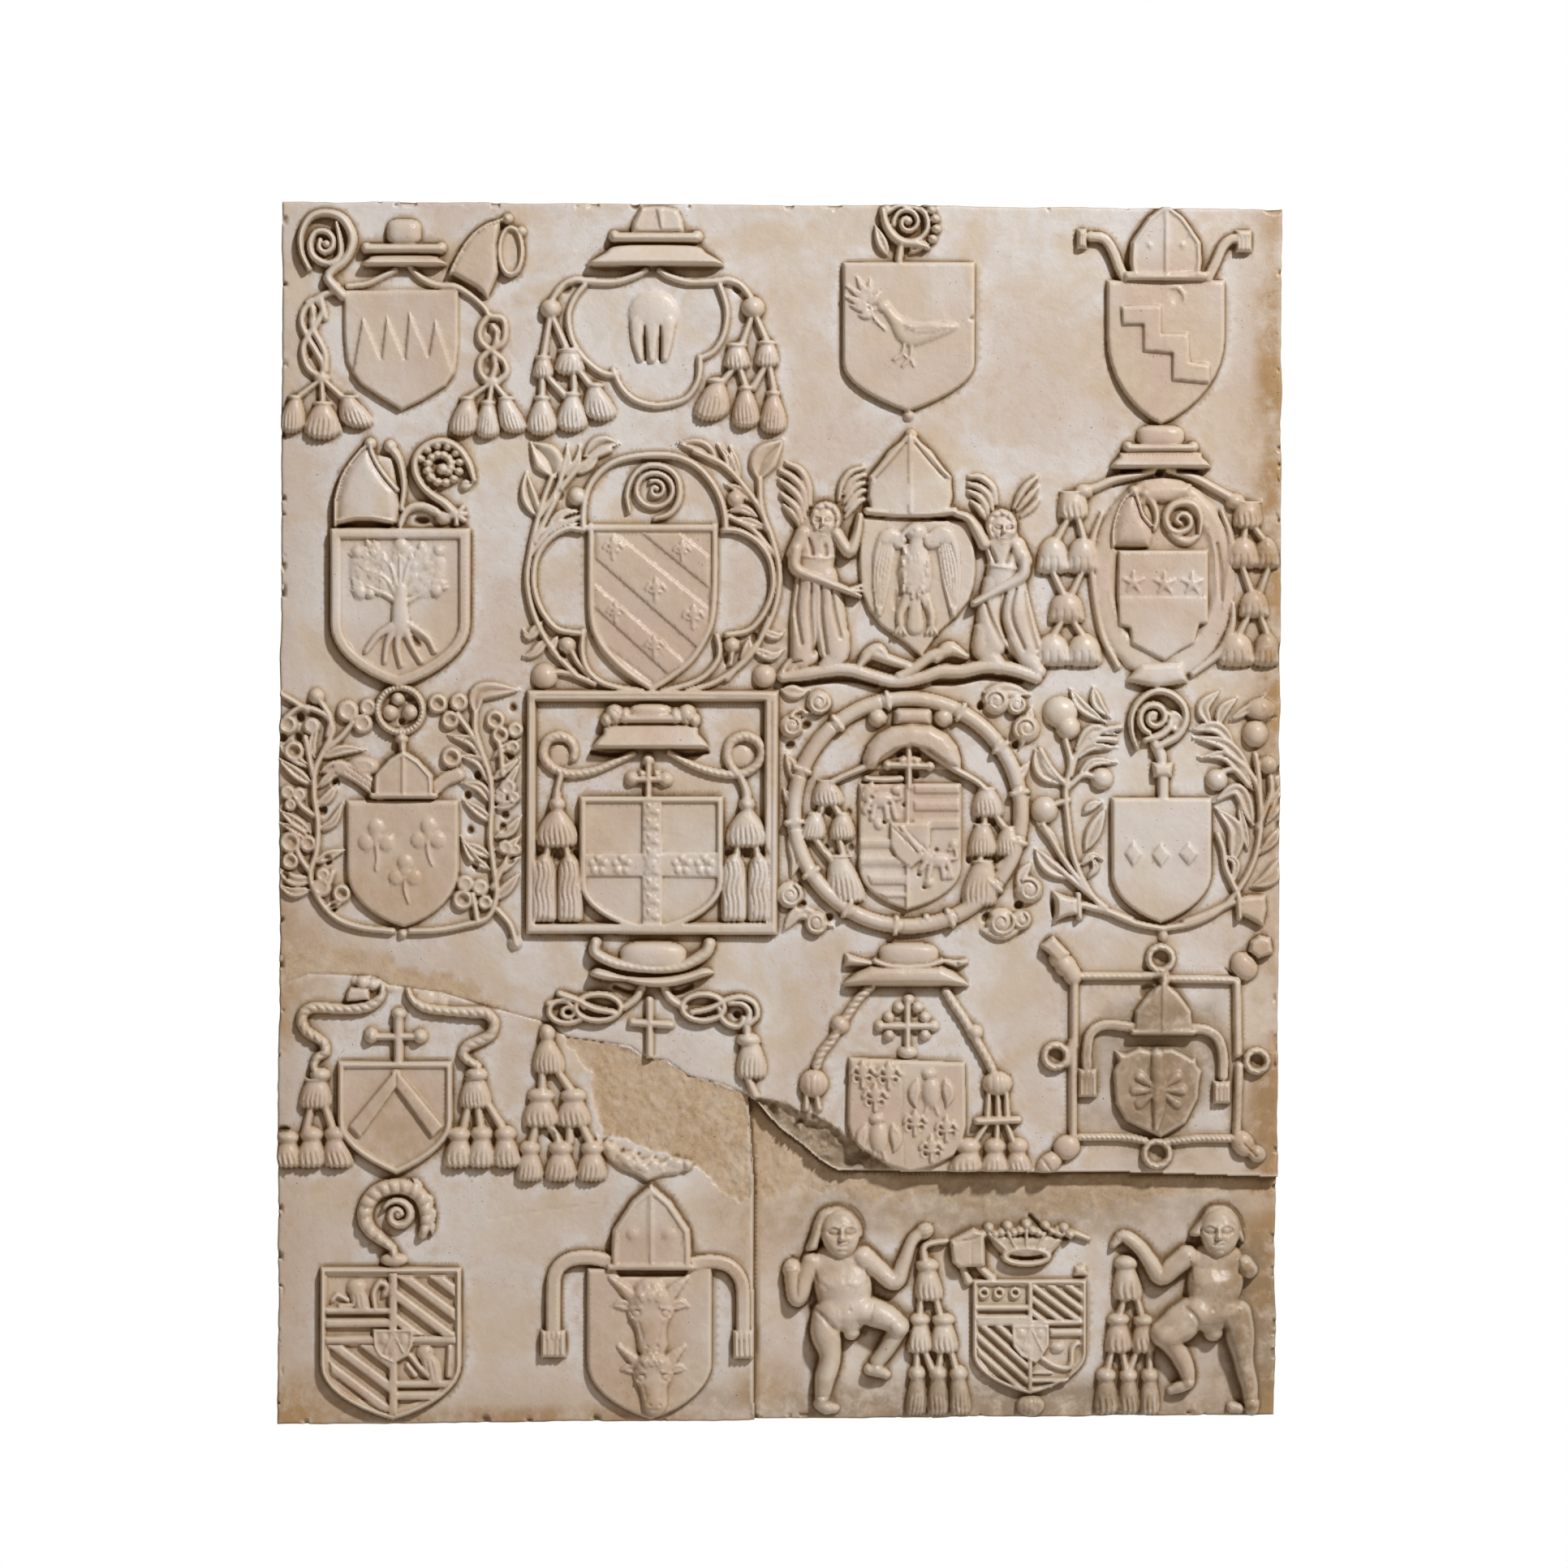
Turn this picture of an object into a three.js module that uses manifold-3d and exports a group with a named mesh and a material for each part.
// A marble wall panel carved in relief with rows of prelates' coats of arms. It was broken
// and put together again from three pieces: a large upper slab, a lower left slab below the
// mended crack, and a lower right block whose ground lies farther back.
import * as THREE from 'three';
import { mergeVertices } from 'three/addons/utils/BufferGeometryUtils.js';
import Module from 'manifold-3d';

const wasm = await Module();
wasm.setup();

// Driving dimensions in millimetres
const columnPitch = 203.5;     // from one coat of arms to the next across the panel
const rowPitch = 197;          // from one coat of arms to the next up the panel
const slabThickness = 38;      // back face to the carved ground of the slabs
const blockThickness = 27;     // back face to the ground of the lower right block
const crackGap = 0.6;          // open width of the mended crack, measured up the panel
const jointGap = 0.4;          // open width of the straight joint beside the block
const spallDepth = 1.5;        // how far the rough broken surfaces lie behind the ground
const shieldRelief = 7;        // how far a shield stands off its ground
const rimDepth = 3.5;          // how far a framed shield's field lies behind its rim
const chargeRelief = 2.5;      // how far the charges stand off their field
const cordRelief = 7;          // cords, ribbons and stems
const leafRelief = 8;          // leaves, buds and flowers
const tasselRelief = 11;       // tassels and their knots
const frameRelief = 9;         // square frames, rings and strapwork
const hatRelief = 15;          // hats at the edge of the brim
const mitreRelief = 13;        // mitres at their middle ridge
const crozierRelief = 10;      // crozier heads
const angelRelief = 16;        // the two kneeling angels
const puttoRelief = 24;        // the two standing putti

const rooted = 2.5;            // every carving runs this far into the marble behind it
const beyond = 3 * slabThickness;   // a height that clears every carving, for whole-height cuts
const weld = 1e-4;             // corners closer than this are one corner

const upperColor = 0xd9cbb8;
const leftColor = 0xd2c2aa;
const blockColor = 0xcdb99d;

// Every coat of arms is laid out from the middle of its cell in shares of the cell, counted as
// 203.5 across and 197 up, so that the layout follows the pitches.
const across = columnPitch / 203.5;
const up = rowPitch / 197;

// A closed geometry as a solid that can be joined and cut
function solidOf(geometry) {
  const bare = geometry.clone();
  bare.deleteAttribute('normal');
  bare.deleteAttribute('uv');
  const merged = mergeVertices(bare, weld);
  const vertProperties = new Float32Array(merged.attributes.position.array);
  const triVerts = new Uint32Array(merged.index.array);
  return new wasm.Manifold(new wasm.Mesh({ numProp: 3, vertProperties, triVerts }));
}

// Six times the volume inside a list of triangles, negative where they face inward
function signedVolume(points, triangles) {
  let sum = 0;
  for (const [a, b, c] of triangles) {
    sum += points[a].dot(new THREE.Vector3().crossVectors(points[b], points[c]));
  }
  return sum;
}

// A solid skinned over rings with equal numbers of points, capped at both ends unless it
// closes on itself
function skin(rings, closed = false) {
  const count = rings[0].length;
  const points = rings.flat();
  const triangles = [];
  const spans = closed ? rings.length : rings.length - 1;
  for (let ring = 0; ring < spans; ring++) {
    const next = (ring + 1) % rings.length;
    for (let i = 0; i < count; i++) {
      const j = (i + 1) % count;
      const here = ring * count;
      const there = next * count;
      triangles.push([here + i, here + j, there + j], [here + i, there + j, there + i]);
    }
  }
  if (!closed) {
    const last = (rings.length - 1) * count;
    for (let i = 1; i < count - 1; i++) {
      triangles.push([0, i + 1, i], [last, last + i, last + i + 1]);
    }
  }
  const outward = signedVolume(points, triangles) > 0;
  const index = triangles.flatMap(([a, b, c]) => (outward ? [a, b, c] : [a, c, b]));
  const values = points.flatMap((point) => point.toArray());
  const geometry = new THREE.BufferGeometry();
  geometry.setAttribute('position', new THREE.Float32BufferAttribute(values, 3));
  geometry.setIndex(index);
  return solidOf(geometry);
}

// Points on an ellipse, from one angle to another in degrees, anticlockwise from +X
function arc(x, z, radiusX, radiusZ, from, to, steps) {
  return Array.from({ length: steps + 1 }, (_, i) => {
    const angle = THREE.MathUtils.degToRad(from + ((to - from) * i) / steps);
    return [x + radiusX * Math.cos(angle), z + radiusZ * Math.sin(angle)];
  });
}

// Outline of a heater shield: straight sides down to the shoulder, then two arcs to the tip
function shieldOutline({ left, right, top, shoulder, tip, tipX }) {
  const sweep = THREE.MathUtils.degToRad(62);
  const steps = 2;
  const widest = 1 - Math.cos(sweep);
  const deepest = Math.sin(sweep);
  const side = (edge) => Array.from({ length: steps }, (_, i) => {
    const angle = (sweep * i) / steps;
    return [
      edge + ((tipX - edge) * (1 - Math.cos(angle))) / widest,
      shoulder - ((shoulder - tip) * Math.sin(angle)) / deepest,
    ];
  });
  return [[right, top], [left, top], ...side(left), [tipX, tip], ...side(right).reverse()];
}

// Moves every point of an outline toward its middle by about the same distance
function inset(outline, distance) {
  const corners = outline.map(([x, z]) => new THREE.Vector2(x, z));
  const turning = Math.sign(THREE.ShapeUtils.area(corners));
  return outline.map((point, i) => {
    const before = outline[(i + outline.length - 1) % outline.length];
    const after = outline[(i + 1) % outline.length];
    const here = new THREE.Vector2(...point);
    const one = here.clone().sub(new THREE.Vector2(...before)).normalize();
    const two = new THREE.Vector2(...after).sub(here).normalize();
    const normal = new THREE.Vector2(-(one.y + two.y), one.x + two.x).normalize();
    const turn = Math.max(0.5, new THREE.Vector2(-one.y, one.x).dot(normal));
    here.addScaledVector(normal, (turning * distance) / turn);
    return [here.x, here.y];
  });
}

// One coat of arms in its cell: x runs right, z runs up, and heights stand off the ground
class Carving {
  constructor(column, row, ground = slabThickness) {
    this.middle = [(column - 2.5) * columnPitch, (3 - row) * rowPitch];
    this.ground = ground;
    this.body = null;
  }

  at(x, z, height) {
    return new THREE.Vector3(
      this.middle[0] + x * across,
      -(this.ground + height),
      this.middle[1] + z * up,
    );
  }

  join(solid) {
    this.body = this.body ? this.body.add(solid) : solid;
  }

  cut(solid) {
    this.body = this.body.subtract(solid);
  }

  // A flat-topped prism over an outline, between two heights
  prism(outline, bottom, top) {
    const corners = outline.map(([x, z]) => {
      const place = this.at(x, z, 0);
      return new THREE.Vector2(place.x, place.z);
    });
    const shape = new THREE.Shape(corners);
    const geometry = new THREE.ExtrudeGeometry(shape, { depth: top - bottom, bevelEnabled: false });
    geometry.rotateX(Math.PI / 2);
    geometry.translate(0, -(this.ground + bottom), 0);
    return solidOf(geometry);
  }

  plate(outline, height, bottom = -rooted) {
    this.join(this.prism(outline, bottom, height));
  }

  sink(outline, floor) {
    this.cut(this.prism(outline, floor, beyond));
  }

  // A ridge along a path, sharp or flat on top; the width and the height may change along it
  ridge(path, width, height, { closed = false, bottom = -rooted, flat = 0 } = {}) {
    const last = path.length - 1;
    const rings = path.map(([x, z], i) => {
      const before = path[closed ? (i + last) % path.length : Math.max(0, i - 1)];
      const after = path[closed ? (i + 1) % path.length : Math.min(last, i + 1)];
      const along = new THREE.Vector2(after[0] - before[0], after[1] - before[1]).normalize();
      const wide = Array.isArray(width) ? width[i] : width;
      const high = Array.isArray(height) ? height[i] : height;
      const crest = flat > 0 ? [[-0.5 * flat, high], [0.5 * flat, high]] : [[0, high]];
      const section = [[-0.5, bottom], ...crest, [0.5, bottom]];
      return section.map(([share, level]) => {
        const aside = share * wide;
        return this.at(x - along.y * aside, z + along.x * aside, level);
      });
    });
    this.join(skin(rings, closed));
  }

  ring(x, z, radiusX, radiusZ, width, height, steps = 6) {
    const path = arc(x, z, radiusX, radiusZ, 0, 360 - 360 / steps, steps - 1);
    this.ridge(path, width, height, { closed: true });
  }

  // A faceted knob: pointed when small and four-sided, with a flat crown when it has more sides
  boss(x, z, radiusX, radiusZ, height, { sides = 4, bottom = -rooted } = {}) {
    const turn = 360 / sides;
    const crown = sides > 4 ? 0.6 : 0;
    const level = (share, top) => {
      const path = arc(x, z, radiusX * share, radiusZ * share, 90, 450 - turn, sides - 1);
      return path.map(([px, pz]) => this.at(px, pz, top));
    };
    this.join(skin([level(1, bottom), level(crown, height)]));
  }

  // A pointed leaf from its root to its tip
  leaf(root, tip, width, height = leafRelief, bottom = -rooted) {
    const along = new THREE.Vector2(tip[0] - root[0], tip[1] - root[1]);
    const aside = new THREE.Vector2(-along.y, along.x).normalize().multiplyScalar(width / 2);
    const middle = [root[0] + along.x * 0.45, root[1] + along.y * 0.45];
    const left = this.at(middle[0] + aside.x, middle[1] + aside.y, bottom);
    const right = this.at(middle[0] - aside.x, middle[1] - aside.y, bottom);
    const crest = this.at(...middle, height);
    const [start, end] = [root, tip].map(([x, z]) => this.at(x, z, bottom));
    this.join(skin([[start, start, start], [left, crest, right], [end, end, end]]));
  }

  // A bell-shaped tassel hanging from its knot
  tassel(x, top, width, bottom, height = tasselRelief) {
    const rings = [[0, 0.4, 0.7], [1, 1, 1]].map(([down, wide, high]) => {
      const z = top + (bottom - top) * down;
      const half = (width * wide) / 2;
      return [[-1, -rooted], [0, height * high], [1, -rooted]]
        .map(([side, level]) => this.at(x + side * half, z, level));
    });
    this.join(skin(rings));
  }

  // A prelate's hat seen from the front: crown, band and overhanging brim
  hat(x, crown, band, brim) {
    const [half, foot, crest] = crown;
    const narrow = half * 0.8;
    const block = [[x - half, foot], [x + half, foot], [x + narrow, crest], [x - narrow, crest]];
    this.plate(block, hatRelief * 0.65);
    const [bandHalf, bandLow, bandHigh] = band;
    const middle = (bandLow + bandHigh) / 2;
    this.ridge([[x - bandHalf, middle], [x + bandHalf, middle]], bandHigh - bandLow, hatRelief * 0.75);
    const [topHalf, bottomHalf, low, high] = brim;
    const profile = [
      [topHalf, high, -rooted], [topHalf, high, hatRelief * 0.5],
      [bottomHalf, low, hatRelief], [bottomHalf, low, -rooted],
    ];
    const end = (side) => profile.map(([wide, z, height]) => this.at(x + side * wide, z, height));
    this.join(skin([end(-1), end(1)]));
  }

  // A mitre seen from the front: two cheeks that rise to the middle ridge, and a band below
  mitre(x, base, half, shoulder, apex) {
    const outline = [
      [x - half, base], [x - half, shoulder], [x, apex], [x + half, shoulder], [x + half, base],
    ];
    const rise = [0.55, 0.5, 0.35, 0.5, 0.55];
    const low = outline.map(([px, pz]) => this.at(px, pz, -rooted));
    const rim = outline.map(([px, pz], i) => this.at(px, pz, mitreRelief * rise[i]));
    const middle = (base + shoulder) / 2;
    const top = apex - (apex - base) * 0.15;
    const crest = [[x - 1, base], [x - 1, middle], [x, top], [x + 1, middle], [x + 1, base]];
    const high = crest.map(([px, pz]) => this.at(px, pz, mitreRelief));
    this.join(skin([low, rim, high]));
    this.ridge([[x - half - 1, base + 3], [x + half + 1, base + 3]], 6, mitreRelief * 0.95);
  }

  // A mitre turned aside: one cheek with its ball, and the edge of the horn behind
  turnedMitre(cheek, horn, backHorn) {
    this.plate(cheek, mitreRelief * 0.8);
    this.ridge(backHorn, 6, mitreRelief * 0.6);
    this.boss(...horn, 5, 5, mitreRelief);
  }

  cross(x, z, armAcross, armUp, armDown, width, height = cordRelief) {
    const half = width / 2;
    this.plate([
      [x - armAcross, z + half], [x - armAcross, z - half], [x - half, z - half], [x - half, z - armDown],
      [x + half, z - armDown], [x + half, z - half], [x + armAcross, z - half], [x + armAcross, z + half],
      [x + half, z + half], [x + half, z + armUp], [x - half, z + armUp], [x - half, z + half],
    ], height);
  }

  // A shield, with its field sunk inside a rim where a rim width is given
  shield(shape, { rim = 0, relief = shieldRelief } = {}) {
    const outline = shieldOutline(shape);
    this.plate(outline, relief);
    if (rim > 0) {
      this.sink(inset(outline, rim), relief - rimDepth);
    }
    return rim > 0 ? relief - rimDepth : relief;
  }

  // A flower of three petals as one star-shaped knob
  trefoil(x, z, reach, radius, height = leafRelief) {
    const level = (share, top) => Array.from({ length: 6 }, (_, i) => {
      const far = (i % 2 ? radius * 0.6 : reach + radius) * share;
      const [[px, pz]] = arc(x, z, far, far, 90 + i * 60, 0, 1);
      return this.at(px, pz, top);
    });
    this.join(skin([level(1, -rooted), level(0.7, height)]));
  }
}

// Tilted mitre, crozier and knotted cords with three tassels a side over an indented field
function armsOneOne() {
  const arms = new Carving(1, 1);
  arms.hat(5, [14, 62, 80], [30, 53, 62], [18, 33, 43, 52]);
  arms.ring(-57, 63, 20, 22, 6, crozierRelief);
  arms.boss(-59, 62, 12, 13, crozierRelief * 0.8, { sides: 5 });
  arms.ridge([[-55, 38], [-50, 26]], 6, cordRelief);
  arms.ridge([[-2, 42], [-25, 29], [-44, 26]], 5, cordRelief);
  arms.ridge([[10, 43], [33, 28], [56, 23], [70, 8]], 5, cordRelief);
  arms.boss(-69, 4, 10, 12, cordRelief);
  arms.boss(-70, -25, 9, 15, cordRelief);
  arms.boss(76, -9, 11, 11, cordRelief);
  arms.boss(76, -33, 11, 11, cordRelief);
  for (const [x, top, width, bottom] of [[-83, -52, 18, -90], [-61, -56, 24, -95], [-36, -56, 22, -88],
    [52, -56, 22, -92], [72, -56, 17, -94], [92, -56, 18, -90]]) {
    arms.tassel(x, top, width, bottom);
  }
  arms.boss(-61, -47, 14, 6, tasselRelief);
  arms.boss(76, -50, 16, 5, tasselRelief);
  const field = arms.shield({ left: -43, right: 48.5, top: 24.5, shoulder: -22, tip: -72, tipX: 3 });
  const indented = [
    [-38, -38], [-28, 4], [-13, -31], [-9, 5], [6, -31], [9, 8], [25, -29], [30, 3], [43, -38], [3, -66],
  ];
  arms.plate(indented, field + chargeRelief);
  arms.turnedMitre([[44, 36], [54, 62], [82, 79], [80, 38], [70, 18]], [87, 80], [[99, 71], [84, 38]]);
  return arms;
}

// Hat with cords, balls and tassels two and three a side around a three-lobed cartouche
function armsOneTwo() {
  const arms = new Carving(2, 1);
  arms.hat(3, [20, 69, 88], [33, 62, 70], [27, 53, 43, 61]);
  arms.boss(-30, 66, 6, 6, hatRelief * 0.8);
  arms.boss(37, 68, 6, 6, hatRelief * 0.8);
  for (const side of [-1, 1]) {
    arms.ridge([[side * 8, 38], [side * 20, 31], [side * 62, 31], [side * 78, 17]], 5.5, cordRelief);
    arms.boss(side * 81, 8, 9, 8, tasselRelief);
    arms.tassel(side * 71, -6, 17, -42);
    arms.tassel(side * 90, -6, 18, -44);
  }
  for (const [x, width] of [[-87, 22], [-63, 22], [-41, 18], [50, 22], [74, 20], [97, 18]]) {
    arms.tassel(x, -46, width, -86);
  }
  const lobes = [
    [-54, 27], [-66, 6], [-58, -24], [-31, -42], [0, -68], [32, -50], [38, -32], [58, -10], [54, 27],
  ];
  arms.ridge(lobes, 5, frameRelief * 0.8);
  arms.boss(0, 8, 19, 16, chargeRelief * 2, { sides: 6 });
  for (const x of [-12, 0, 11]) {
    arms.ridge([[x, -7], [x * 0.8, -30]], 9, chargeRelief * 1.7);
  }
  return arms;
}

// Crozier over a broad shield with a dove and its olive branch
function armsOneThree() {
  const arms = new Carving(3, 1);
  for (const [x, z] of arc(2, 77, 22, 20, -30, 150, 5)) {
    arms.boss(x, z, 5, 5, crozierRelief);
  }
  arms.boss(1, 77, 15, 13, crozierRelief * 0.8, { sides: 6 });
  arms.ridge([[-10, 60], [-6, 49]], 6, crozierRelief * 0.8);
  arms.leaf([-15, 52], [-24, 76], 8);
  arms.leaf([2, 52], [18, 59], 8);
  const field = arms.shield({ left: -51, right: 55, top: 46.5, shoulder: -20, tip: -74, tipX: 1 });
  const high = field + chargeRelief;
  arms.ridge([[-19, 6], [-8, -8], [12, -12], [39, -7]], [8, 20, 18, 4], high, { flat: 0.6 });
  arms.boss(-19, 11, 5, 5, high + 1);
  arms.ridge([[1, -20], [-4, -33]], 3, high);
  arms.ridge([[6, -20], [3, -37]], 3, high);
  arms.ridge([[-20, -8], [-30, 16]], 2.5, high);
  for (const [root, tip] of [[[-30, 18], [-39, 34]], [[-29, 14], [-48, 24]], [[-28, 8], [-45, 12]]]) {
    arms.leaf(root, tip, 7, high);
  }
  return arms;
}

// Mitre with its lappets over a shield charged with a stepped bend
function armsOneFour() {
  const arms = new Carving(4, 1);
  arms.mitre(4, 31, 28, 62, 93);
  arms.ridge([[-29, 34], [-38, 50], [-48, 65], [-58, 66]], 8, cordRelief);
  arms.plate([[-66, 58], [-59, 58], [-59, 72], [-66, 72]], cordRelief * 1.2);
  arms.ridge([[38, 34], [47, 49], [59, 64]], 8, cordRelief);
  arms.plate([[61, 56], [71, 57], [72, 68], [62, 70]], cordRelief * 1.2);
  const field = arms.shield({ left: -43, right: 52, top: 32, shoulder: -12, tip: -84, tipX: 0 });
  const steps = [
    [-32, 11], [0, 11], [0, -11], [22, -11], [23, -34], [39, -36], [39, -51], [9, -48], [9, -27],
    [-14, -25], [-14, -4], [-31, -4],
  ];
  arms.plate(steps, field + chargeRelief);
  arms.ridge(arc(12, 19, 7, 7, -60, 150, 3), 4, field + chargeRelief);
  return arms;
}

// Turned mitre, crozier and glove over a framed shield with an uprooted tree
function armsTwoOne() {
  const arms = new Carving(1, 2);
  arms.turnedMitre([[-49, 32], [-50, 52], [-43, 74], [-25, 95], [-14, 79], [-1, 60], [0, 32]],
    [-20, 101], [[-5, 93], [5, 76], [5, 50]]);
  arms.ring(35, 79, 21, 20, 6, crozierRelief, 7);
  arms.boss(34, 79, 12, 11, crozierRelief * 0.8, { sides: 6 });
  arms.ridge([[8, 36], [14, 46], [28, 44]], 6, cordRelief);
  arms.tassel(43, 56, 26, 32, cordRelief);
  const framed = { left: -54, right: 58, top: 30, shoulder: -45, tip: -97, tipX: 1 };
  const field = arms.shield(framed, { rim: 8, relief: 10 });
  const high = field + chargeRelief;
  arms.plate([[-30, -26], [-35, 4], [-14, 17], [14, 18], [37, 2], [30, -26]], high);
  arms.ridge([[4, -25], [3, -50]], 13, high);
  for (const tip of [[-18, -68], [-4, -76], [12, -76], [26, -68]]) {
    arms.leaf([3, -50], tip, 7, high);
  }
  return arms;
}

// Quatrefoil cartouche with a crozier volute above a bendy shield, set in sprays of buds
function armsTwoTwo() {
  const arms = new Carving(2, 2);
  const field = arms.shield({ left: -50, right: 49, top: 31, shoulder: -40, tip: -98, tipX: 0 });
  const high = field + chargeRelief * 0.7;
  arms.plate([[-42, 5], [-42, 22], [0, 22], [43, -16], [41, -55], [36, -66]], high);
  arms.plate([[-45, -33], [-36, -64], [0, -90], [10, -80]], high);
  arms.ridge(arc(0, 36, 58, 52, 2, 178, 6), 5, frameRelief);
  arms.ridge(arc(-57, -12, 41, 42, 96, 264, 4), 5, frameRelief);
  arms.ridge(arc(57, -12, 41, 42, 84, -84, 4), 5, frameRelief);
  arms.ridge(arc(-58, -60, 5, 39, 178, 270, 2).concat([[-30, -98]]), 5, frameRelief * 0.8);
  arms.ridge(arc(48, -60, 5, 37, 2, -90, 2).concat([[20, -98]]), 5, frameRelief * 0.8);
  arms.ring(2, 61, 20, 19, 4, frameRelief * 0.7);
  arms.boss(2, 61, 9, 9, frameRelief * 0.7);
  const berries = [[-60, 56, 8], [67, 54, 7], [-68, -63, 8], [64, -63, 7], [-86, -88, 9], [90, -88, 9]];
  for (const [x, z, radius] of berries) {
    arms.boss(x, z, radius, radius, leafRelief * 1.2);
  }
  const sprays = [
    [[-76, 78], [-95, 98], 16], [[-96, 48], [-102, 74], 12], [[-52, 91], [-28, 98], 8],
    [[-68, 70], [-62, 96], 10], [[-86, 34], [-76, 66], 12], [[46, 92], [20, 97], 8],
    [[86, 74], [104, 100], 18], [[70, 78], [60, 99], 9], [[86, 44], [66, 42], 8], [[82, -72], [106, -60], 9],
  ];
  for (const [root, tip, width] of sprays) {
    arms.leaf(root, tip, width);
  }
  arms.ridge([[94, 24], [79, 66]], 5, cordRelief);
  arms.ridge([[-94, -46], [-76, -72]], 6, cordRelief);
  arms.ridge([[95, -44], [72, -78]], 6, cordRelief);
  return arms;
}

// A kneeling angel that holds the shield, drawn once and mirrored; side is -1 on the left
function angel(arms, side, head, elbow, knee, foot) {
  arms.boss(head[0], head[1], 12, 13, angelRelief, { sides: 6 });
  const shoulder = [head[0] + side, head[1] - 17];
  const robe = [shoulder, [shoulder[0] + side * 2, -10], [shoulder[0] + side * 4, -40], knee];
  arms.ridge(robe, [32, 30, 42, 26], [0.7, 0.7, 0.7, 0.6].map((share) => angelRelief * share));
  arms.ridge([elbow, [side * 50 + 10, -20]], [11, 6], angelRelief * 0.95);
  arms.ridge([[side * 58 + 4, 10], [side * 42 + 4, 42]], [10, 6], angelRelief * 0.9);
  arms.ridge([knee, foot], [20, 12], angelRelief * 0.4);
  const wingRoot = [head[0] + side * 13, head[1] + 4];
  for (const spread of [12, 30]) {
    arms.leaf(wingRoot, [head[0] + side * spread, head[1] + 48 - spread], 14, angelRelief * 0.45);
  }
}

// Tall mitre over a shield with a displayed eagle, held up by two kneeling angels
function armsTwoThree() {
  const arms = new Carving(3, 2);
  arms.mitre(4, 40, 33, 73, 107);
  angel(arms, -1, [-68, 42], [-84, -6], [-66, -66], [-92, -82]);
  angel(arms, 1, [75, 35], [92, -6], [80, -68], [104, -82]);
  const field = arms.shield({ left: -36, right: 55, top: 38, shoulder: -22, tip: -73, tipX: 11 });
  const high = field + chargeRelief;
  arms.boss(3, 27, 7, 8, high + 2, { sides: 5 });
  arms.boss(3, -8, 12, 22, high + 1, { sides: 6 });
  arms.ridge([[-20, 22], [-24, -2], [-22, -34]], [14, 12, 5], high);
  arms.ridge([[27, 22], [34, -2], [36, -36]], [14, 14, 5], high);
  arms.leaf([3, -28], [2, -54], 14, high);
  arms.ridge([[-98, -88], [-40, -83], [10, -91], [60, -84], [104, -91]], 10, frameRelief);
  arms.boss(-20, -71, 9, 7, frameRelief);
  arms.boss(36, -71, 11, 7, frameRelief);
  return arms;
}

// Hat and tassels one, two, one and two a side around an oval cartouche with mitre and crozier
function armsTwoFour() {
  const arms = new Carving(4, 2);
  arms.hat(0, [19, 99, 112], [27, 92, 99], [28, 42, 79, 92]);
  arms.ridge([[-4, 77], [-30, 71], [-52, 65], [-66, 60]], 6, cordRelief);
  arms.ridge([[5, 77], [28, 69], [48, 60], [62, 50]], 6, cordRelief);
  arms.tassel(-70, 58, 24, 38);
  arms.tassel(68, 56, 22, 33);
  for (const [x, top, width, bottom] of [
    [-86, 34, 22, -4], [-64, 34, 20, -4], [-75, -8, 24, -44], [-86, -47, 24, -79], [-61, -47, 25, -79],
    [66, 30, 21, -1], [85, 30, 16, -1], [75, -5, 22, -42], [61, -45, 24, -79], [84, -45, 18, -79],
  ]) {
    arms.tassel(x, top, width, bottom);
  }
  arms.plate(arc(3, -10, 54, 80, 22, 338, 7), frameRelief * 0.8);
  arms.sink(arc(3, -10, 42, 62, 22, 338, 6), frameRelief * 0.8 - rimDepth);
  arms.plate([[-12, 54], [24, 54], [24, 66], [-12, 66]], frameRelief * 1.2);
  arms.plate([[-18, -78], [18, -78], [22, -92], [-26, -92]], frameRelief * 1.4);
  const cheek = [[-38, 16], [-37, 34], [-24, 54], [-9, 32], [-8, 16]];
  arms.turnedMitre(cheek, [-21, 61], [[-10, 50], [-3, 40], [-3, 18]]);
  arms.ring(17, 37, 12, 12, 5, crozierRelief, 5);
  const relief = shieldRelief * 1.4;
  arms.plate([[-34, 13], [38, 13], [37, -46], [27, -62], [3, -75], [-25, -62], [-34, -46]], relief);
  for (const x of [-22, 3, 25]) {
    arms.boss(x, -14, 8, 8, relief + chargeRelief);
  }
  return arms;
}

// One side's spray of a wreath: a bent stem with flowers and leaves along it
function spray(arms, stem, flowers, leaves) {
  arms.ridge(stem, 7, cordRelief);
  for (const [x, z, reach, radius] of flowers) {
    arms.trefoil(x, z, reach, radius);
  }
  for (const [root, tip, width] of leaves) {
    arms.leaf(root, tip, width);
  }
}

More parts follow.
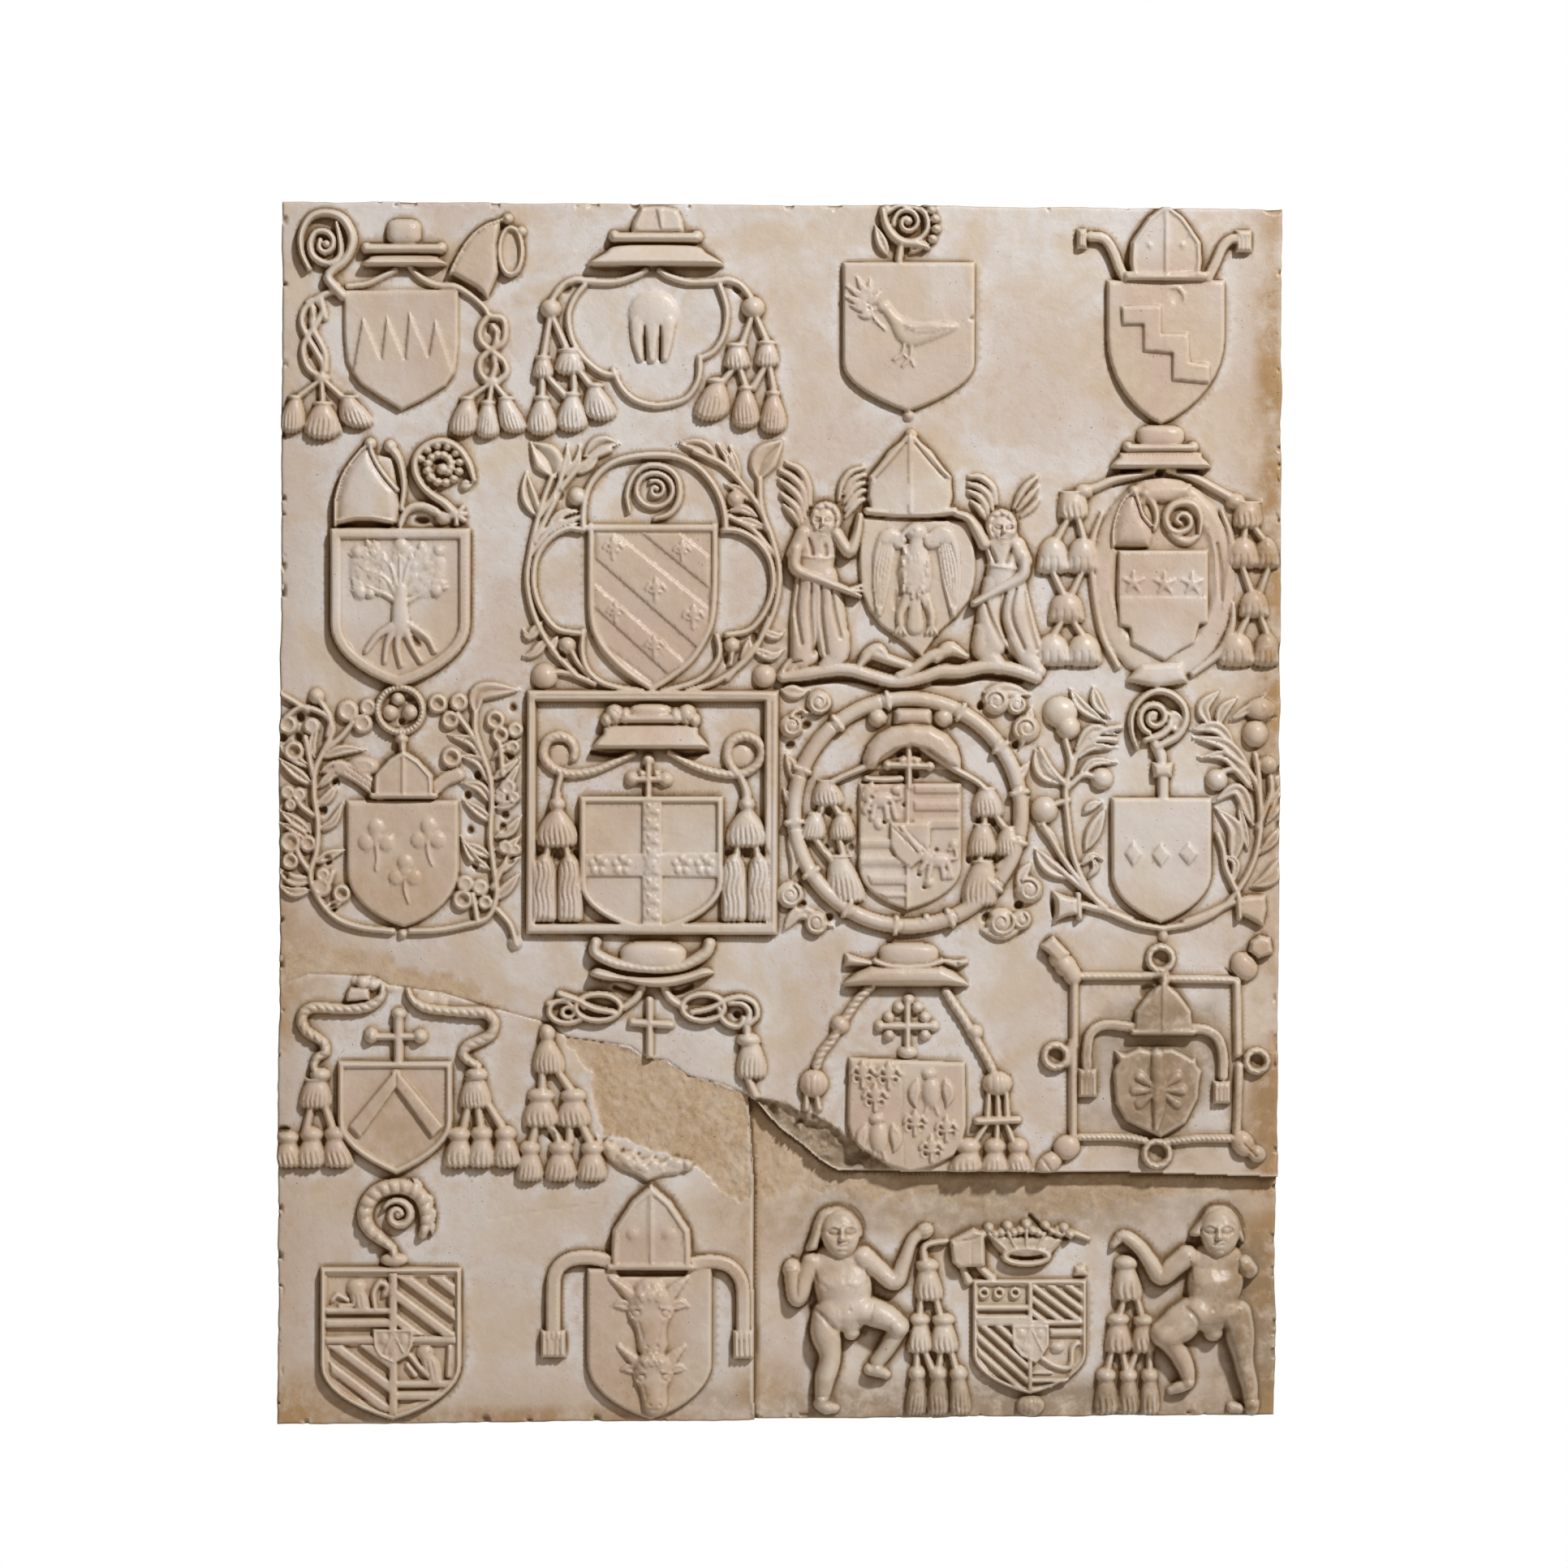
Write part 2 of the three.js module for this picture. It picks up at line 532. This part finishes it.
// Crozier and mitre over a shield with three trefoils, in a wreath of flowering sprays
function armsThreeOne() {
  const arms = new Carving(1, 3);
  spray(arms,
    [[-6, -95], [-52, -83], [-68, -58], [-67, 20], [-58, 56]],
    [[-36, 79, 9, 8], [-81, 66, 10, 9], [-84, -30, 9, 7]],
    [[[-56, 62], [-64, 98], 9], [[-60, 36], [-20, 38], 12], [[-73, 34], [-96, 44], 10],
      [[-72, 8], [-94, -6], 9], [[-62, 4], [-46, 20], 8]]);
  spray(arms,
    [[12, -96], [74, -86], [79, -56], [74, 20], [52, 72]],
    [[42, 84, 10, 8], [39, 45, 10, 8], [58, -64, 10, 9]],
    [[[64, 66], [66, 96], 12], [[76, 84], [98, 97], 14], [[68, 20], [50, 34], 9],
      [[72, -10], [52, 8], 9], [[73, -44], [54, -24], 9], [[80, 20], [97, 34], 8]]);
  arms.ring(2, 82, 16, 16, 6, crozierRelief, 7);
  arms.boss(2, 81, 9, 7, crozierRelief);
  arms.ridge([[3, 62], [4, 52]], 9, crozierRelief);
  arms.mitre(6, 11, 22, 30, 50);
  arms.ridge([[-18, 15], [-44, 26]], 11, cordRelief);
  const field = arms.shield({ left: -41, right: 49, top: 10, shoulder: -45, tip: -92, tipX: 5 });
  for (const [x, z] of [[-16, -22], [24, -20], [6, -48]]) {
    arms.trefoil(x, z, 8, 6, field + chargeRelief);
    arms.leaf([x, z - 9], [x + 1, z - 24], 4, field + chargeRelief);
  }
  return arms;
}

// Square frame with a knotted hat, looped cords, fringed bells, a cross and a crossed shield
function armsThreeTwo() {
  const arms = new Carving(2, 3);
  arms.plate([[-101, -98], [100, -98], [100, 98], [-101, 98]], frameRelief);
  arms.sink([[-94, -90], [91, -90], [91, 90], [-94, 90]], 0.3);
  arms.hat(-1, [17, 80, 86], [36, 68, 80], [36, 47, 51, 67]);
  arms.boss(-31, 76, 9, 10, hatRelief * 0.9);
  arms.boss(30, 76, 9, 10, hatRelief * 0.9);
  arms.ridge([[-14, 44], [-52, 33], [-80, 36], [-84, 54], [-64, 56]], 7, cordRelief);
  arms.ridge([[14, 44], [48, 31], [79, 33], [83, 54], [64, 56]], 7, cordRelief);
  for (const side of [-1, 1]) {
    arms.tassel(side * 74, 27, 12, 5);
    arms.tassel(side * 76, 2, 34, -28);
    arms.tassel(side * 85, -30, 16, -86);
    arms.tassel(side * 67, -30, 17, -86);
  }
  arms.cross(-3, 26, 15, 16, 12, 5);
  const framed = { left: -57, right: 57, top: 12, shoulder: -55, tip: -89, tipX: 0 };
  const field = arms.shield(framed, { rim: 6 });
  arms.ridge([[0, 3], [0, -79]], 16, field + chargeRelief, { bottom: 0 });
  arms.ridge([[-48, -42], [48, -42]], 19, field + chargeRelief, { bottom: 0 });
  return arms;
}

// Ring of bound reeds with volutes in the corners around a hat, tassels and quartered shield
function armsThreeThree() {
  const arms = new Carving(3, 3);
  arms.ring(1, 0, 92, 92, 13, frameRelief * 1.1, 12);
  const volutes = [
    [-72, 88, 10], [-92, 70, 10], [74, 90, 11], [96, 70, 10],
    [-93, -66, 11], [-74, -88, 11], [98, -62, 10], [78, -86, 12],
  ];
  for (const [x, z, radius] of volutes) {
    arms.boss(x, z, radius, radius, leafRelief * 1.2);
  }
  arms.ridge([[-33, 38], [-20, 60], [28, 60], [42, 38]], [20, 16, 16, 20], hatRelief);
  arms.plate([[-10, 70], [18, 70], [19, 83], [-11, 83]], hatRelief * 0.8);
  arms.boss(-24, 76, 8, 7, hatRelief * 0.8);
  arms.boss(31, 76, 8, 7, hatRelief * 0.8);
  arms.cross(3, 36, 14, 12, 12, 5);
  arms.leaf([-43, 34], [-58, 26], 7, cordRelief);
  arms.leaf([52, 33], [60, 22], 7, cordRelief);
  for (const [x, top, width, bottom] of [
    [-64, 26, 25, 4], [-72, 2, 19, -22], [-51, 2, 19, -22], [-50, -26, 26, -70],
    [66, 20, 24, -4], [62, -6, 22, -35], [58, -36, 24, -72],
  ]) {
    arms.tassel(x, top, width, bottom);
  }
  const field = arms.shield({ left: -38, right: 44, top: 22, shoulder: -42, tip: -77, tipX: 1 });
  const high = field + chargeRelief;
  for (const z of [14, 2]) {
    arms.ridge([[6, z], [42, z]], 8, high);
    arms.ridge([[-35, z - 34], [-14, z - 34]], 8, high);
  }
  arms.boss(-20, 8, 14, 11, high);
  arms.boss(26, -48, 12, 12, high);
  arms.boss(3, -26, 15, 17, high + 1, { sides: 6 });
  return arms;
}

// Crozier with its knop over a shield with three lozenges, between sprays of poppy heads
function armsThreeFour() {
  const arms = new Carving(4, 3);
  arms.ring(-3, 75, 20, 20, 6, crozierRelief, 7);
  arms.boss(-5, 75, 12, 11, crozierRelief * 0.8, { sides: 6 });
  arms.tassel(0, 52, 12, 14, crozierRelief * 0.8);
  arms.boss(1, 34, 8, 7, crozierRelief * 1.1);
  const field = arms.shield({ left: -39, right: 41, top: 11, shoulder: -46, tip: -88, tipX: 0 });
  for (const x of [-22, 0, 22]) {
    arms.boss(x, -34, 7, 10, field + chargeRelief);
  }
  spray(arms, [[-22, -88], [-58, -68], [-75, -10], [-62, 52]], [],
    [[[-62, 70], [-68, 99], 9], [[-54, 62], [-32, 74], 9], [[-61, 44], [-34, 56], 9],
      [[-80, 24], [-102, 48], 9], [[-79, -24], [-104, -8], 9], [[-63, -36], [-46, -6], 9]]);
  spray(arms, [[22, -88], [58, -68], [79, -14], [66, 52]], [],
    [[[61, 56], [24, 62], 9], [[52, 72], [54, 98], 12], [[70, 10], [30, 42], 10],
      [[74, -16], [52, 4], 9], [[84, 4], [95, 26], 8], [[82, -30], [96, -12], 9]]);
  const heads = [[-78, 72, 12], [-47, 27, 9], [-92, 4, 9], [78, 78, 12], [86, 38, 7], [47, 23, 8]];
  for (const [x, z, radius] of heads) {
    arms.boss(x, z, radius, radius, leafRelief * 1.2);
  }
  arms.plate([[-66, -66], [-86, -64], [-86, -84], [-66, -82]], leafRelief * 1.1);
  arms.plate([[62, -68], [84, -66], [84, -88], [64, -82]], leafRelief * 1.1);
  return arms;
}

// Bent cords with a ball-ended cross over a framed shield with a chevron; the hat is lost
function armsFourOne() {
  const arms = new Carving(1, 4);
  arms.ridge([[-12, 52], [-22, 40], [-70, 39], [-73, 24], [-60, 12], [-65, -6]], 8, cordRelief * 1.2);
  arms.ridge([[8, 52], [20, 38], [72, 37], [72, 22], [56, 12], [64, -5]], 8, cordRelief * 1.2);
  arms.leaf([-28, 50], [-44, 52], 9, hatRelief * 0.5);
  arms.cross(0, 19, 15, 11, 17, 8);
  arms.boss(-22, 19, 6, 6, cordRelief * 1.2);
  arms.boss(22, 18, 6, 6, cordRelief * 1.2);
  arms.boss(1, 37, 6, 6, cordRelief * 1.2);
  arms.boss(-64, -14, 9, 5, tasselRelief);
  arms.boss(63, -13, 10, 5, tasselRelief);
  arms.tassel(-65, -20, 27, -39);
  arms.tassel(62, -19, 24, -39);
  for (const [x, top, width] of [
    [-87, -60, 20], [-66, -42, 22], [-50, -42, 19], [52, -42, 19], [69, -42, 19], [88, -46, 19],
  ]) {
    arms.tassel(x, top, width, -85);
  }
  const framed = { left: -46, right: 43, top: -2, shoulder: -46, tip: -90, tipX: 0 };
  const field = arms.shield(framed, { rim: 6, relief: 9 });
  arms.ridge([[-30, -52], [-1, -18], [30, -54]], 14, field + chargeRelief, { bottom: 0 });
  return arms;
}

// What is left around the spall: hat, laced cord knots, cross and tassels; the shield is lost
function armsFourTwoUpper() {
  const arms = new Carving(2, 4);
  arms.plate([[-20, 78], [-12, 91], [16, 91], [24, 78]], hatRelief * 0.7);
  arms.ridge([[-43, 86], [-24, 75], [24, 75], [41, 86]], 9, hatRelief * 0.85);
  arms.ridge([[-46, 69], [-20, 63], [20, 63], [45, 69]], [5, 12, 12, 5], hatRelief);
  arms.boss(-44, 92, 6, 5, hatRelief * 0.9);
  arms.boss(42, 92, 6, 5, hatRelief * 0.9);
  arms.ring(-40, 40, 15, 11, 5, cordRelief);
  arms.ring(-71, 41, 10, 11, 5, cordRelief);
  arms.ring(41, 40, 15, 11, 5, cordRelief);
  arms.ring(70, 37, 9, 11, 5, cordRelief);
  arms.cross(-1, 28, 15, 16, 26, 5);
  arms.boss(78, 18, 8, 5, tasselRelief);
  arms.tassel(78, 12, 21, -15);
  return arms;
}

// The tassels of the same arms that lie below the crack, and the foot of the broken shield
function armsFourTwoLower() {
  const arms = new Carving(2, 4);
  arms.tassel(-82, 20, 27, -9);
  arms.tassel(-90, -12, 24, -52);
  arms.tassel(-62, -12, 24, -53);
  for (const [x, width] of [[-98, 20], [-73, 21], [-48, 24]]) {
    arms.tassel(x, -55, width, -97);
  }
  arms.plate([[-44, -60], [-22, -84], [-4, -97], [-24, -72]], shieldRelief * 0.6);
  arms.plate([[-2, -97], [24, -86], [20, -78], [4, -82]], shieldRelief * 0.5);
  return arms;
}

// Hat, knotted cords and tassels around a budded cross and a shield of lilies and eagles
function armsFourThree() {
  const arms = new Carving(3, 4);
  arms.hat(2, [22, 80, 92], [28, 72, 80], [34, 48, 59, 73]);
  arms.leaf([-27, 79], [-47, 80], 8, hatRelief * 0.5);
  arms.ridge([[-30, 56], [-50, 34], [-70, -4]], 6, cordRelief);
  arms.ridge([[32, 55], [48, 28], [70, -8]], 6, cordRelief);
  arms.boss(-57, 22, 7, 7, cordRelief * 1.3);
  arms.boss(54, 18, 6, 6, cordRelief * 1.3);
  arms.boss(-74, -18, 11, 11, tasselRelief, { sides: 5 });
  arms.tassel(-80, -30, 10, -44);
  arms.boss(72, -20, 12, 10, tasselRelief, { sides: 5 });
  arms.tassel(72, -31, 28, -51);
  for (const [x, top, width, bottom] of [[54, -54, 22, -89], [72, -53, 18, -90], [89, -54, 18, -90]]) {
    arms.tassel(x, top, width, bottom);
  }
  arms.cross(2, 27, 11, 9, 14, 7);
  for (const [x, z] of [[-17, 27], [21, 27], [3, 44]]) {
    arms.boss(x, z, 8, 8, cordRelief);
  }
  arms.boss(2, 6, 8, 5, cordRelief * 1.2);
  const field = arms.shield({ left: -45, right: 48, top: -1, shoulder: -46, tip: -89, tipX: 2 });
  const high = field + chargeRelief;
  arms.sink([[-50, -56], [-30, -70], [4, -92], [-50, -92]], 1);
  for (const [x, z] of [[-33, -17], [-10, -17], [-22, -33], [12, -60], [33, -58], [20, -77]]) {
    arms.boss(x, z, 8, 8, high);
  }
  for (const [x, z] of [[20, -24], [-16, -60]]) {
    arms.ridge([[x, z + 14], [x, z - 14]], [8, 14], high);
    arms.ridge([[x - 13, z + 5], [x - 13, z - 12]], [8, 4], high);
    arms.ridge([[x + 13, z + 5], [x + 13, z - 12]], [8, 4], high);
  }
  return arms;
}

// Square frame of cords with corner tassels and loops around a mitre and a spindle shield
function armsFourFour() {
  const arms = new Carving(4, 4);
  arms.ridge([[-69, 66], [61, 66], [61, -63], [-69, -63]], 7, frameRelief, { closed: true });
  arms.ring(1, 82, 9, 9, 6, frameRelief);
  arms.ring(-86, 0, 9, 9, 6, frameRelief);
  arms.ring(78, -2, 9, 9, 6, frameRelief);
  arms.ring(-3, -80, 10, 10, 6, frameRelief);
  arms.ridge([[-75, 72], [-92, 90]], [13, 9], frameRelief);
  arms.ridge([[66, 72], [80, 89]], [14, 9], frameRelief);
  arms.ridge([[-74, -70], [-92, -84]], [14, 11], frameRelief);
  arms.ridge([[67, -68], [82, -82]], [14, 8], frameRelief);
  arms.mitre(2, 20, 22, 40, 59);
  arms.ridge([[-24, 22], [-50, 20], [-57, -8]], 9, cordRelief);
  arms.ridge([[28, 22], [44, 16], [48, -16]], 9, cordRelief);
  arms.plate([[-65, -10], [-51, -10], [-49, -29], [-65, -29]], cordRelief * 1.2);
  arms.plate([[43, -18], [53, -18], [54, -34], [43, -34]], cordRelief * 1.2);
  const relief = shieldRelief * 1.1;
  const outline = [
    [-37, 8], [-12, 10], [-3, 6], [12, 10], [32, -12], [29, -36], [0, -59], [-36, -42], [-39, -12],
  ];
  arms.plate(outline, relief);
  arms.ridge([[-5, 2], [-4, -26], [-6, -54]], [4, 13, 5], relief + chargeRelief * 2);
  for (const [tipX, tipZ] of [[-28, -24], [19, -25], [-17, -11], [10, -37]]) {
    arms.leaf([-4 + Math.sign(tipX) * 4, -25], [tipX, tipZ], 7, relief + chargeRelief);
  }
  return arms;
}

// Crocketed crozier over a quartered shield of lions, bars and bends
function armsFiveOne() {
  const arms = new Carving(1, 5);
  for (const [x, z] of arc(-1, 72, 24, 23, -20, 220, 7)) {
    arms.boss(x, z, 8, 8, crozierRelief);
  }
  arms.ring(2, 69, 11, 11, 7, crozierRelief * 0.9);
  arms.ridge([[-14, 50], [-2, 40]], 9, crozierRelief);
  arms.boss(0, 35, 11, 5, crozierRelief);
  const framed = { left: -60, right: 51, top: 29, shoulder: -45, tip: -90, tipX: -3 };
  const floor = arms.shield(framed, { rim: 5, relief: 10 });
  const bars = floor + 3;
  arms.ridge([[-3, 22], [-3, -80]], 6, bars + 0.5, { bottom: 0 });
  arms.ridge([[-54, -27], [45, -26]], 6, bars + 0.5, { bottom: 0 });
  arms.ridge([[-54, -5], [-8, -5]], 7, bars, { bottom: 0 });
  arms.ridge([[-54, -15], [-8, -15]], 7, bars, { bottom: 0 });
  for (const shift of [0, 13, 26]) {
    arms.ridge([[2, 8 + shift * 0.4], [44, -20 + shift]], 6, bars, { bottom: 0 });
    arms.ridge([[-53, -36 - shift * 0.5], [-8, -62 - shift * 0.5]], 6, bars, { bottom: 0 });
  }
  arms.boss(-32, 10, 16, 9, bars + 1, { bottom: 0 });
  arms.boss(26, -44, 15, 11, bars + 1, { bottom: 0 });
  arms.ridge([[2, -61], [36, -61]], 6, bars, { bottom: 0 });
  arms.boss(-3, -30, 15, 13, bars + 2, { sides: 5 });
  return arms;
}

// Mitre with fringed lappets over a shield with two bulls' heads
function armsFiveTwo() {
  const arms = new Carving(2, 5);
  arms.mitre(0, 29, 30, 60, 94);
  arms.ridge([[-32, 36], [-60, 37], [-76, 32], [-79, 12], [-79, -22]], 10, cordRelief);
  arms.ridge([[30, 34], [56, 33], [70, 26], [74, 8], [74, -20]], 10, cordRelief);
  arms.plate([[-86, -20], [-72, -20], [-68, -41], [-88, -41]], cordRelief * 1.2);
  arms.plate([[67, -20], [79, -20], [81, -42], [65, -42]], cordRelief * 1.2);
  const field = arms.shield({ left: -52, right: 48, top: 29, shoulder: -42, tip: -91, tipX: 0 });
  for (const [z, size] of [[0, 1], [-56, 0.85]]) {
    arms.ridge([[-1, z + 16], [-2, z - 6], [-3, z - 34 * size]], [24, 26, 15], field + chargeRelief * 1.8);
    arms.ridge([[-12, z + 10], [-34, z + 24 * size]], [9, 3], field + chargeRelief * 1.4);
    arms.ridge([[10, z + 10], [29, z + 23 * size]], [9, 3], field + chargeRelief);
    arms.leaf([-12, z], [-32, z + 2], 8, field + chargeRelief * 1.3);
    arms.leaf([10, z], [27, z + 1], 8, field + chargeRelief);
  }
  return arms;
}

// A part of a body along a path, flat-topped where it is stout; heights are shares of the figure's
function limb(arms, path, widths, shares, flat = 0) {
  arms.ridge(path, widths, shares.map((share) => puttoRelief * share), { flat });
}

// A standing putto with one leg lifted and the head in a loose cap
function putto(arms, { head, trunk, straight, lifted, arm, otherArm }) {
  const stout = 0.55;
  arms.boss(head[0], head[1], 19, 20, puttoRelief, { sides: 7 });
  limb(arms, trunk, [42, 40, 38, 26], [0.8, 0.85, 0.95, 0.75], stout);
  limb(arms, straight, [24, 21, 13], [0.8, 0.75, 0.5], stout);
  limb(arms, lifted, [22, 22, 16, 13], [0.8, 1, 0.7, 0.45], stout);
  limb(arms, arm, [17, 15, 10], [0.8, 0.75, 0.7]);
  limb(arms, otherArm, [17, 14], [0.65, 0.55]);
}

// The left putto of the double coat on the lower right block, with his stack of tassels
function armsFiveThree() {
  const arms = new Carving(3, 5, blockThickness);
  putto(arms, {
    head: [-55, 61],
    trunk: [[-50, 38], [-50, 22], [-49, 2], [-44, -20]],
    straight: [[-62, -8], [-62, -36], [-67, -76]],
    lifted: [[-28, -4], [-8, -18], [-22, -38], [-24, -56]],
    arm: [[-30, 36], [-14, 22], [12, 58]],
    otherArm: [[-74, 30], [-88, 14]],
  });
  stackOfTassels(arms, 20, 1);
  return arms;
}

// Tassels one, two and three from top to bottom, spreading toward one side
function stackOfTassels(arms, x, side) {
  arms.leaf([x, 39], [x + side * 8, 54], 7, tasselRelief);
  arms.tassel(x, 36, 22, 4, tasselRelief * 1.3);
  for (const shift of [-10, 10]) {
    arms.tassel(x + shift, -2, 18, -39, tasselRelief * 1.3);
  }
  for (const shift of [-18, 1, 20]) {
    arms.tassel(x + shift, -42, 17, -88, tasselRelief * 1.3);
  }
}

// The right putto with his broken arm, his tassels, and the crowned shield between the two
function armsFiveFour() {
  const arms = new Carving(4, 5, blockThickness);
  putto(arms, {
    head: [49, 60],
    trunk: [[45, 38], [45, 22], [45, 2], [44, -24]],
    straight: [[62, -12], [65, -38], [74, -76]],
    lifted: [[26, -8], [10, -22], [20, -44], [24, -62]],
    arm: [[23, 36], [2, 24], [-28, 52]],
    otherArm: [[66, 32], [75, 18]],
  });
  arms.leaf([18, -66], [4, -71], 9, puttoRelief * 0.4);
  stackOfTassels(arms, -26, -1);
  const crowned = { left: -150, right: -59, top: 19, shoulder: -38, tip: -72, tipX: -104 };
  const floor = arms.shield(crowned, { rim: 5, relief: shieldRelief * 1.6 });
  const bars = floor + 3;
  arms.ridge([[-104, 12], [-104, -63]], 5, bars + 0.5, { bottom: 0 });
  arms.ridge([[-144, -14], [-65, -14]], 5, bars + 0.5, { bottom: 0 });
  arms.ridge([[-143, -5], [-108, -5]], 5, bars, { bottom: 0 });
  arms.ridge([[-100, -54], [-70, -54]], 5, bars, { bottom: 0 });
  for (const shift of [0, 11]) {
    arms.ridge([[-143 + shift, -27], [-108, -54 + shift * 0.8]], 5, bars, { bottom: 0 });
    arms.ridge([[-100, 10 - shift], [-66, -2 - shift * 0.6]], 5, bars, { bottom: 0 });
  }
  arms.boss(-126, 6, 16, 6, bars + 1, { bottom: 0 });
  arms.boss(-80, -38, 13, 7, bars + 1, { bottom: 0 });
  arms.boss(-104, -30, 14, 12, bars + 2);
  arms.boss(-103, -83, 11, 8, tasselRelief);
  arms.ridge([[-136, 40], [-122, 31], [-88, 31], [-74, 42]], [10, 13, 13, 8], tasselRelief * 1.5);
  for (const x of [-122, -104, -88]) {
    arms.boss(x, 52, 7, 10, tasselRelief * 1.5);
  }
  arms.plate([[-168, 50], [-141, 50], [-141, 30], [-166, 30]], tasselRelief * 1.5);
  arms.ridge([[-158, 29], [-148, 22]], 9, tasselRelief);
  return arms;
}

// A point of the panel given by its cell's column and row and its place in that cell
function spot(column, row, x, z) {
  return [(column - 2.5) * columnPitch + x * across, (3 - row) * rowPitch + z * up];
}

// A prism over an outline in panel coordinates, between two distances from the back face
function panelPrism(outline, back, front) {
  const shape = new THREE.Shape(outline.map(([x, z]) => new THREE.Vector2(x, z)));
  const geometry = new THREE.ExtrudeGeometry(shape, { depth: front - back, bevelEnabled: false });
  geometry.rotateX(Math.PI / 2);
  geometry.translate(0, -back, 0);
  return solidOf(geometry);
}

const moved = ([x, z], right, above) => [x + right * across, z + above * up];

// The mended crack, from the left edge of the panel to the straight joint
const crack = [
  spot(1, 4, -95.5, 59), spot(1, 4, -72, 68), spot(1, 4, -19, 66), spot(1, 4, -7, 59), spot(1, 4, 35, 53),
  spot(1, 4, 67, 43), spot(2, 4, -85, 29), spot(2, 4, -68, 17), spot(2, 4, -18, 10), spot(2, 4, -4, 0),
  spot(2, 4, 11, -1), spot(2, 4, 29, -14), spot(2, 4, 55, -20), spot(2, 4, 76, -29),
];

// The broken corner and the ledge of the upper slab, from the joint to the right edge
const ledge = [
  spot(2, 4, 85.5, -36), spot(2, 4, 101.5, -55), spot(2, 4, 120.5, -69), spot(2, 4, 135.5, -82),
  spot(2, 4, 149.5, -90), spot(4, 4, -29.5, -91), spot(4, 4, 92.5, -95),
];

// Where the rough break of that corner meets the carved ground
const breakTop = [
  spot(2, 4, 107.5, -35), spot(2, 4, 116.5, -41), spot(2, 4, 129.5, -44), spot(2, 4, 152.5, -58),
  spot(2, 4, 185.5, -82),
];

const panelTop = [spot(4, 1, 97.5, 89.5), spot(3, 1, 30, 95), spot(1, 1, -84, 95.5), spot(1, 1, -92.5, 90)];
const middleOfRightEdge = spot(4, 3, 94.5, 0);
const lowerLeftCorner = spot(1, 5, -97, -96);
const jointFoot = spot(2, 5, 81, -92);
const lowerRightCorner = spot(4, 5, 91.5, -88.5);

function marble(name, body, color) {
  const mesh = body.getMesh();
  const geometry = new THREE.BufferGeometry();
  geometry.setAttribute('position', new THREE.BufferAttribute(new Float32Array(mesh.vertProperties), 3));
  geometry.setIndex(new THREE.BufferAttribute(new Uint32Array(mesh.triVerts), 1));
  geometry.computeVertexNormals();
  const material = new THREE.MeshStandardMaterial({ color, roughness: 0.45, metalness: 0 });
  const piece = new THREE.Mesh(geometry, material);
  piece.name = name;
  return piece;
}

const withArms = (slab, carvings) => carvings.reduce((body, arms) => body.add(arms.body), slab);

function upperSlab() {
  const above = crack.map(([x, z]) => [x, z + crackGap]);
  const outline = [...panelTop, ...above, ...ledge, middleOfRightEdge];
  const slab = panelPrism(outline, 0, slabThickness);
  const carved = withArms(slab, [
    armsOneOne(), armsOneTwo(), armsOneThree(), armsOneFour(),
    armsTwoOne(), armsTwoTwo(), armsTwoThree(), armsTwoFour(),
    armsThreeOne(), armsThreeTwo(), armsThreeThree(), armsThreeFour(),
    armsFourTwoUpper(), armsFourThree(), armsFourFour(),
  ]);
  const level = (place, height) => new THREE.Vector3(place[0], -height, place[1]);
  const corner = breakTop.map((top, i) => {
    const foot = moved(ledge[i], i < 2 ? -8 : -4, -6);
    return [
      level(top, slabThickness), level(foot, blockThickness - 2), level(foot, beyond), level(top, beyond),
    ];
  });
  const broken = carved.subtract(skin(corner));
  return marble('upper_slab', broken.intersect(panelPrism(outline, 0, beyond)), upperColor);
}

function lowerLeftSlab() {
  const outline = [lowerLeftCorner, jointFoot, ...crack.toReversed()];
  const slab = panelPrism(outline, 0, slabThickness);
  const spall = [
    ...crack.slice(7).map((point) => moved(point, 0, 4)), spot(2, 4, 81, -92), spot(2, 5, 68, 81),
    spot(2, 4, 43, -94), spot(2, 4, 30, -78), spot(2, 4, 10, -73), spot(2, 4, -14, -66), spot(2, 4, -40, -60),
    spot(2, 4, -49, -42), spot(2, 4, -52, -12), spot(2, 4, -68, 10),
  ];
  const floor = slabThickness - spallDepth;
  const broken = slab.subtract(panelPrism(spall, floor, slabThickness + 1));
  const carved = withArms(broken, [armsFourOne(), armsFourTwoLower(), armsFiveOne(), armsFiveTwo()]);
  return marble('lower_left_slab', carved.intersect(panelPrism(outline, 0, beyond)), leftColor);
}

function lowerRightBlock() {
  const head = [crack[crack.length - 1], ...ledge].map(([x, z]) => [x, z - crackGap]);
  head[0][0] += jointGap;
  const foot = [jointFoot[0] + jointGap, jointFoot[1]];
  const outline = [foot, ...head, lowerRightCorner];
  const block = panelPrism(outline, 0, blockThickness);
  const carved = withArms(block, [armsFiveThree(), armsFiveFour()]);
  return marble('lower_right_block', carved.intersect(panelPrism(outline, 0, beyond)), blockColor);
}

const panel = new THREE.Group();
panel.add(upperSlab(), lowerLeftSlab(), lowerRightBlock());

export default panel;
